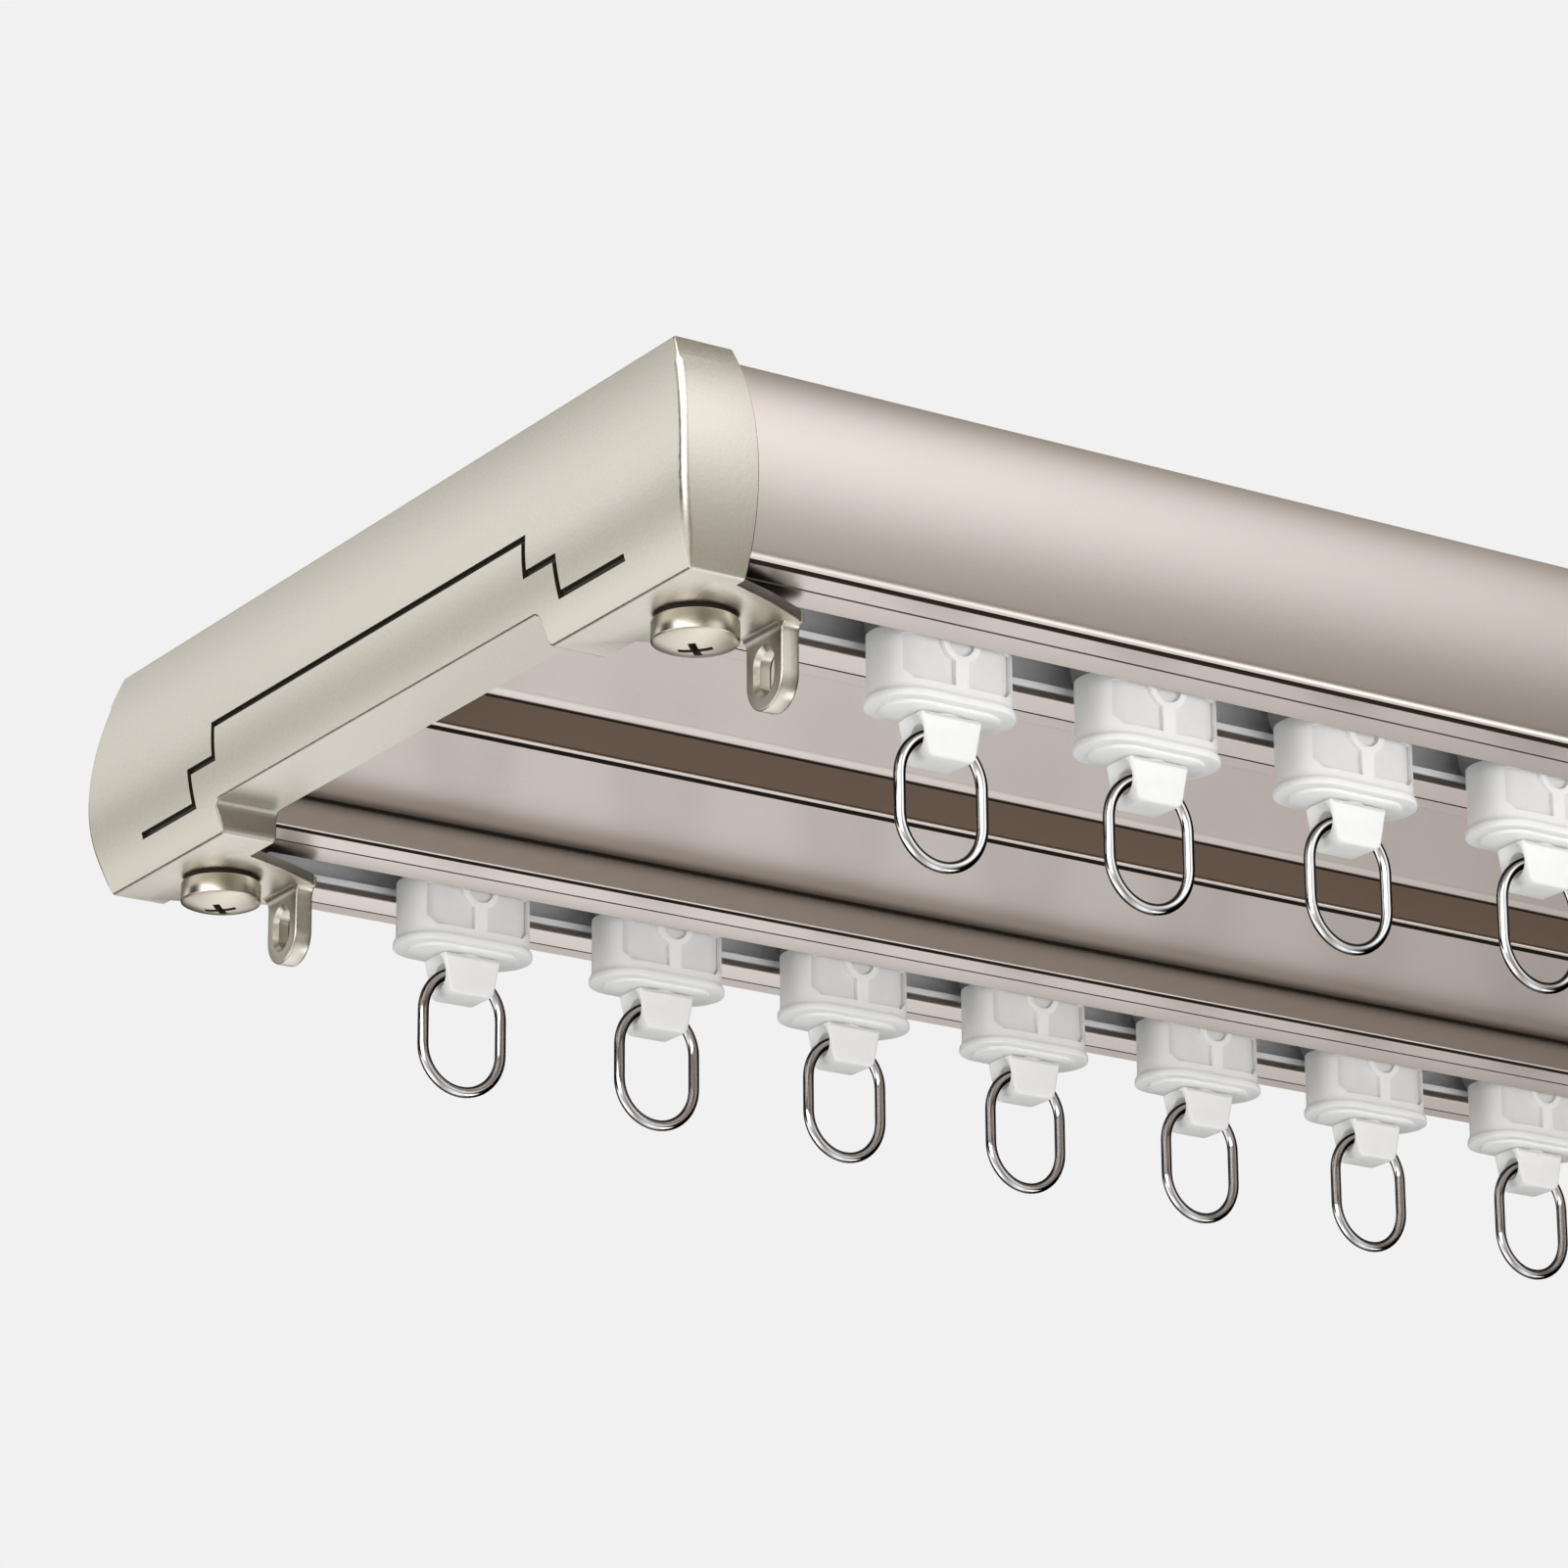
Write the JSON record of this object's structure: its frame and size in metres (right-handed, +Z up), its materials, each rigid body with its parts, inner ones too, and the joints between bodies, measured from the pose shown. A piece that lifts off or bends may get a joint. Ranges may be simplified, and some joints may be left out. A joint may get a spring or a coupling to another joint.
{
  "type": "double curtain track",
  "caption": "Ceiling-mounted aluminium double curtain track with cast end caps, eye tabs and wheeled nylon gliders that carry swivelling steel rings.",
  "frame": {"origin": "centre of the top face, at the middle ceiling screw hole", "axes": "+X along the track, +Y from the room side to the wall side, +Z up into the ceiling"},
  "size_m": [0.608, 0.1404, 0.0511],
  "materials": {
    "rail_aluminium": "satin champagne anodised",
    "cap_casting": "fine sand-textured champagne coat on a zinc casting",
    "brown_strip": "matt brown extruded strip",
    "grey_liner": "satin grey",
    "plated_screw": "satin champagne plating",
    "zinc_nut": "zinc plated",
    "white_nylon": "satin moulded nylon",
    "wheel_nylon": "satin moulded nylon",
    "chrome_ring": "bright chrome wire"
  },
  "bodies": {
    "track": {"rail": "rail_aluminium", "cover_strip": "brown_strip", "front_liner": "grey_liner", "back_liner": "grey_liner", "end_cap_left": "cap_casting", "end_cap_right": "cap_casting", "cap_screws": "plated_screw", "cap_nuts": "zinc_nut"},
    "front_carriage_1": {"front_carriage_1": "white_nylon"},
    "front_wheels_1": {"front_wheels_1": "wheel_nylon"},
    "front_swivel_1": {"front_swivel_1": "white_nylon"},
    "front_ring_1": {"front_ring_1": "chrome_ring"},
    "front_carriage_2": {"front_carriage_2": "white_nylon"},
    "front_wheels_2": {"front_wheels_2": "wheel_nylon"},
    "front_swivel_2": {"front_swivel_2": "white_nylon"},
    "front_ring_2": {"front_ring_2": "chrome_ring"},
    "front_carriage_3": {"front_carriage_3": "white_nylon"},
    "front_wheels_3": {"front_wheels_3": "wheel_nylon"},
    "front_swivel_3": {"front_swivel_3": "white_nylon"},
    "front_ring_3": {"front_ring_3": "chrome_ring"},
    "front_carriage_4": {"front_carriage_4": "white_nylon"},
    "front_wheels_4": {"front_wheels_4": "wheel_nylon"},
    "front_swivel_4": {"front_swivel_4": "white_nylon"},
    "front_ring_4": {"front_ring_4": "chrome_ring"},
    "front_carriage_5": {"front_carriage_5": "white_nylon"},
    "front_wheels_5": {"front_wheels_5": "wheel_nylon"},
    "front_swivel_5": {"front_swivel_5": "white_nylon"},
    "front_ring_5": {"front_ring_5": "chrome_ring"},
    "back_carriage_1": {"back_carriage_1": "white_nylon"},
    "back_wheels_1": {"back_wheels_1": "wheel_nylon"},
    "back_swivel_1": {"back_swivel_1": "white_nylon"},
    "back_ring_1": {"back_ring_1": "chrome_ring"},
    "back_carriage_2": {"back_carriage_2": "white_nylon"},
    "back_wheels_2": {"back_wheels_2": "wheel_nylon"},
    "back_swivel_2": {"back_swivel_2": "white_nylon"},
    "back_ring_2": {"back_ring_2": "chrome_ring"},
    "back_carriage_3": {"back_carriage_3": "white_nylon"},
    "back_wheels_3": {"back_wheels_3": "wheel_nylon"},
    "back_swivel_3": {"back_swivel_3": "white_nylon"},
    "back_ring_3": {"back_ring_3": "chrome_ring"},
    "back_carriage_4": {"back_carriage_4": "white_nylon"},
    "back_wheels_4": {"back_wheels_4": "wheel_nylon"},
    "back_swivel_4": {"back_swivel_4": "white_nylon"},
    "back_ring_4": {"back_ring_4": "chrome_ring"},
    "back_carriage_5": {"back_carriage_5": "white_nylon"},
    "back_wheels_5": {"back_wheels_5": "wheel_nylon"},
    "back_swivel_5": {"back_swivel_5": "white_nylon"},
    "back_ring_5": {"back_ring_5": "chrome_ring"},
    "back_carriage_6": {"back_carriage_6": "white_nylon"},
    "back_wheels_6": {"back_wheels_6": "wheel_nylon"},
    "back_swivel_6": {"back_swivel_6": "white_nylon"},
    "back_ring_6": {"back_ring_6": "chrome_ring"},
    "back_carriage_7": {"back_carriage_7": "white_nylon"},
    "back_wheels_7": {"back_wheels_7": "wheel_nylon"},
    "back_swivel_7": {"back_swivel_7": "white_nylon"},
    "back_ring_7": {"back_ring_7": "chrome_ring"}
  },
  "joints": [
    {"name": "front_glide_1", "type": "slide", "parent": "track", "child": "front_carriage_1", "axis": [1, 0, 0], "range_m": [-0.0072, 0.0828]},
    {"name": "front_wheel_turn_1", "type": "hinge", "parent": "front_carriage_1", "child": "front_wheels_1", "pos_m": [-0.2591, -0.0532, -0.01933], "axis": [0, 1, 0], "continuous": true},
    {"name": "front_swivel_turn_1", "type": "hinge", "parent": "front_carriage_1", "child": "front_swivel_1", "pos_m": [-0.2591, -0.0532, -0.0325], "axis": [0, 0, 1], "continuous": true},
    {"name": "front_ring_swing_1", "type": "hinge", "parent": "front_swivel_1", "child": "front_ring_1", "pos_m": [-0.2591, -0.0532, -0.0356], "axis": [1, 0, 0], "range_deg": [-80, 80]},
    {"name": "front_glide_2", "type": "slide", "parent": "track", "child": "front_carriage_2", "axis": [1, 0, 0], "range_m": [-0.0144, 0.1656]},
    {"name": "front_wheel_turn_2", "type": "hinge", "parent": "front_carriage_2", "child": "front_wheels_2", "pos_m": [-0.2303, -0.0532, -0.01933], "axis": [0, 1, 0], "continuous": true},
    {"name": "front_swivel_turn_2", "type": "hinge", "parent": "front_carriage_2", "child": "front_swivel_2", "pos_m": [-0.2303, -0.0532, -0.0325], "axis": [0, 0, 1], "continuous": true},
    {"name": "front_ring_swing_2", "type": "hinge", "parent": "front_swivel_2", "child": "front_ring_2", "pos_m": [-0.2303, -0.0532, -0.0356], "axis": [1, 0, 0], "range_deg": [-80, 80]},
    {"name": "front_glide_3", "type": "slide", "parent": "track", "child": "front_carriage_3", "axis": [1, 0, 0], "range_m": [-0.0216, 0.2484]},
    {"name": "front_wheel_turn_3", "type": "hinge", "parent": "front_carriage_3", "child": "front_wheels_3", "pos_m": [-0.2015, -0.0532, -0.01933], "axis": [0, 1, 0], "continuous": true},
    {"name": "front_swivel_turn_3", "type": "hinge", "parent": "front_carriage_3", "child": "front_swivel_3", "pos_m": [-0.2015, -0.0532, -0.0325], "axis": [0, 0, 1], "continuous": true},
    {"name": "front_ring_swing_3", "type": "hinge", "parent": "front_swivel_3", "child": "front_ring_3", "pos_m": [-0.2015, -0.0532, -0.0356], "axis": [1, 0, 0], "range_deg": [-80, 80]},
    {"name": "front_glide_4", "type": "slide", "parent": "track", "child": "front_carriage_4", "axis": [1, 0, 0], "range_m": [-0.0288, 0.3312]},
    {"name": "front_wheel_turn_4", "type": "hinge", "parent": "front_carriage_4", "child": "front_wheels_4", "pos_m": [-0.1727, -0.0532, -0.01933], "axis": [0, 1, 0], "continuous": true},
    {"name": "front_swivel_turn_4", "type": "hinge", "parent": "front_carriage_4", "child": "front_swivel_4", "pos_m": [-0.1727, -0.0532, -0.0325], "axis": [0, 0, 1], "continuous": true},
    {"name": "front_ring_swing_4", "type": "hinge", "parent": "front_swivel_4", "child": "front_ring_4", "pos_m": [-0.1727, -0.0532, -0.0356], "axis": [1, 0, 0], "range_deg": [-80, 80]},
    {"name": "front_draw", "type": "slide", "parent": "track", "child": "front_carriage_5", "axis": [1, 0, 0], "range_m": [-0.036, 0.414]},
    {"name": "front_wheel_turn_5", "type": "hinge", "parent": "front_carriage_5", "child": "front_wheels_5", "pos_m": [-0.1439, -0.0532, -0.01933], "axis": [0, 1, 0], "continuous": true},
    {"name": "front_swivel_turn_5", "type": "hinge", "parent": "front_carriage_5", "child": "front_swivel_5", "pos_m": [-0.1439, -0.0532, -0.0325], "axis": [0, 0, 1], "continuous": true},
    {"name": "front_ring_swing_5", "type": "hinge", "parent": "front_swivel_5", "child": "front_ring_5", "pos_m": [-0.1439, -0.0532, -0.0356], "axis": [1, 0, 0], "range_deg": [-80, 80]},
    {"name": "back_glide_1", "type": "slide", "parent": "track", "child": "back_carriage_1", "axis": [1, 0, 0], "range_m": [-0.00714, 0.05086]},
    {"name": "back_wheel_turn_1", "type": "hinge", "parent": "back_carriage_1", "child": "back_wheels_1", "pos_m": [-0.2591, 0.0532, -0.01933], "axis": [0, 1, 0], "continuous": true},
    {"name": "back_swivel_turn_1", "type": "hinge", "parent": "back_carriage_1", "child": "back_swivel_1", "pos_m": [-0.2591, 0.0532, -0.0325], "axis": [0, 0, 1], "continuous": true},
    {"name": "back_ring_swing_1", "type": "hinge", "parent": "back_swivel_1", "child": "back_ring_1", "pos_m": [-0.2591, 0.0532, -0.0356], "axis": [1, 0, 0], "range_deg": [-80, 80]},
    {"name": "back_glide_2", "type": "slide", "parent": "track", "child": "back_carriage_2", "axis": [1, 0, 0], "range_m": [-0.01429, 0.10172]},
    {"name": "back_wheel_turn_2", "type": "hinge", "parent": "back_carriage_2", "child": "back_wheels_2", "pos_m": [-0.2303, 0.0532, -0.01933], "axis": [0, 1, 0], "continuous": true},
    {"name": "back_swivel_turn_2", "type": "hinge", "parent": "back_carriage_2", "child": "back_swivel_2", "pos_m": [-0.2303, 0.0532, -0.0325], "axis": [0, 0, 1], "continuous": true},
    {"name": "back_ring_swing_2", "type": "hinge", "parent": "back_swivel_2", "child": "back_ring_2", "pos_m": [-0.2303, 0.0532, -0.0356], "axis": [1, 0, 0], "range_deg": [-80, 80]},
    {"name": "back_glide_3", "type": "slide", "parent": "track", "child": "back_carriage_3", "axis": [1, 0, 0], "range_m": [-0.02143, 0.15257]},
    {"name": "back_wheel_turn_3", "type": "hinge", "parent": "back_carriage_3", "child": "back_wheels_3", "pos_m": [-0.2015, 0.0532, -0.01933], "axis": [0, 1, 0], "continuous": true},
    {"name": "back_swivel_turn_3", "type": "hinge", "parent": "back_carriage_3", "child": "back_swivel_3", "pos_m": [-0.2015, 0.0532, -0.0325], "axis": [0, 0, 1], "continuous": true},
    {"name": "back_ring_swing_3", "type": "hinge", "parent": "back_swivel_3", "child": "back_ring_3", "pos_m": [-0.2015, 0.0532, -0.0356], "axis": [1, 0, 0], "range_deg": [-80, 80]},
    {"name": "back_glide_4", "type": "slide", "parent": "track", "child": "back_carriage_4", "axis": [1, 0, 0], "range_m": [-0.02857, 0.20343]},
    {"name": "back_wheel_turn_4", "type": "hinge", "parent": "back_carriage_4", "child": "back_wheels_4", "pos_m": [-0.1727, 0.0532, -0.01933], "axis": [0, 1, 0], "continuous": true},
    {"name": "back_swivel_turn_4", "type": "hinge", "parent": "back_carriage_4", "child": "back_swivel_4", "pos_m": [-0.1727, 0.0532, -0.0325], "axis": [0, 0, 1], "continuous": true},
    {"name": "back_ring_swing_4", "type": "hinge", "parent": "back_swivel_4", "child": "back_ring_4", "pos_m": [-0.1727, 0.0532, -0.0356], "axis": [1, 0, 0], "range_deg": [-80, 80]},
    {"name": "back_glide_5", "type": "slide", "parent": "track", "child": "back_carriage_5", "axis": [1, 0, 0], "range_m": [-0.03572, 0.25429]},
    {"name": "back_wheel_turn_5", "type": "hinge", "parent": "back_carriage_5", "child": "back_wheels_5", "pos_m": [-0.1439, 0.0532, -0.01933], "axis": [0, 1, 0], "continuous": true},
    {"name": "back_swivel_turn_5", "type": "hinge", "parent": "back_carriage_5", "child": "back_swivel_5", "pos_m": [-0.1439, 0.0532, -0.0325], "axis": [0, 0, 1], "continuous": true},
    {"name": "back_ring_swing_5", "type": "hinge", "parent": "back_swivel_5", "child": "back_ring_5", "pos_m": [-0.1439, 0.0532, -0.0356], "axis": [1, 0, 0], "range_deg": [-80, 80]},
    {"name": "back_glide_6", "type": "slide", "parent": "track", "child": "back_carriage_6", "axis": [1, 0, 0], "range_m": [-0.04286, 0.30514]},
    {"name": "back_wheel_turn_6", "type": "hinge", "parent": "back_carriage_6", "child": "back_wheels_6", "pos_m": [-0.1151, 0.0532, -0.01933], "axis": [0, 1, 0], "continuous": true},
    {"name": "back_swivel_turn_6", "type": "hinge", "parent": "back_carriage_6", "child": "back_swivel_6", "pos_m": [-0.1151, 0.0532, -0.0325], "axis": [0, 0, 1], "continuous": true},
    {"name": "back_ring_swing_6", "type": "hinge", "parent": "back_swivel_6", "child": "back_ring_6", "pos_m": [-0.1151, 0.0532, -0.0356], "axis": [1, 0, 0], "range_deg": [-80, 80]},
    {"name": "back_draw", "type": "slide", "parent": "track", "child": "back_carriage_7", "axis": [1, 0, 0], "range_m": [-0.05, 0.356]},
    {"name": "back_wheel_turn_7", "type": "hinge", "parent": "back_carriage_7", "child": "back_wheels_7", "pos_m": [-0.0863, 0.0532, -0.01933], "axis": [0, 1, 0], "continuous": true},
    {"name": "back_swivel_turn_7", "type": "hinge", "parent": "back_carriage_7", "child": "back_swivel_7", "pos_m": [-0.0863, 0.0532, -0.0325], "axis": [0, 0, 1], "continuous": true},
    {"name": "back_ring_swing_7", "type": "hinge", "parent": "back_swivel_7", "child": "back_ring_7", "pos_m": [-0.0863, 0.0532, -0.0356], "axis": [1, 0, 0], "range_deg": [-80, 80]}
  ],
  "couplings": [
    {"joint": "front_glide_1", "follows": "front_draw", "ratio": 0.2},
    {"joint": "front_wheel_turn_1", "follows": "front_draw", "rad_per_m": 46.512},
    {"joint": "front_glide_2", "follows": "front_draw", "ratio": 0.4},
    {"joint": "front_wheel_turn_2", "follows": "front_draw", "rad_per_m": 93.023},
    {"joint": "front_glide_3", "follows": "front_draw", "ratio": 0.6},
    {"joint": "front_wheel_turn_3", "follows": "front_draw", "rad_per_m": 139.53},
    {"joint": "front_glide_4", "follows": "front_draw", "ratio": 0.8},
    {"joint": "front_wheel_turn_4", "follows": "front_draw", "rad_per_m": 186.05},
    {"joint": "front_wheel_turn_5", "follows": "front_draw", "rad_per_m": 232.56},
    {"joint": "back_glide_1", "follows": "back_draw", "ratio": 0.14286},
    {"joint": "back_wheel_turn_1", "follows": "back_draw", "rad_per_m": 33.223},
    {"joint": "back_glide_2", "follows": "back_draw", "ratio": 0.28571},
    {"joint": "back_wheel_turn_2", "follows": "back_draw", "rad_per_m": 66.445},
    {"joint": "back_glide_3", "follows": "back_draw", "ratio": 0.42857},
    {"joint": "back_wheel_turn_3", "follows": "back_draw", "rad_per_m": 99.668},
    {"joint": "back_glide_4", "follows": "back_draw", "ratio": 0.57143},
    {"joint": "back_wheel_turn_4", "follows": "back_draw", "rad_per_m": 132.89},
    {"joint": "back_glide_5", "follows": "back_draw", "ratio": 0.71429},
    {"joint": "back_wheel_turn_5", "follows": "back_draw", "rad_per_m": 166.11},
    {"joint": "back_glide_6", "follows": "back_draw", "ratio": 0.85714},
    {"joint": "back_wheel_turn_6", "follows": "back_draw", "rad_per_m": 199.34},
    {"joint": "back_wheel_turn_7", "follows": "back_draw", "rad_per_m": 232.56}
  ]
}
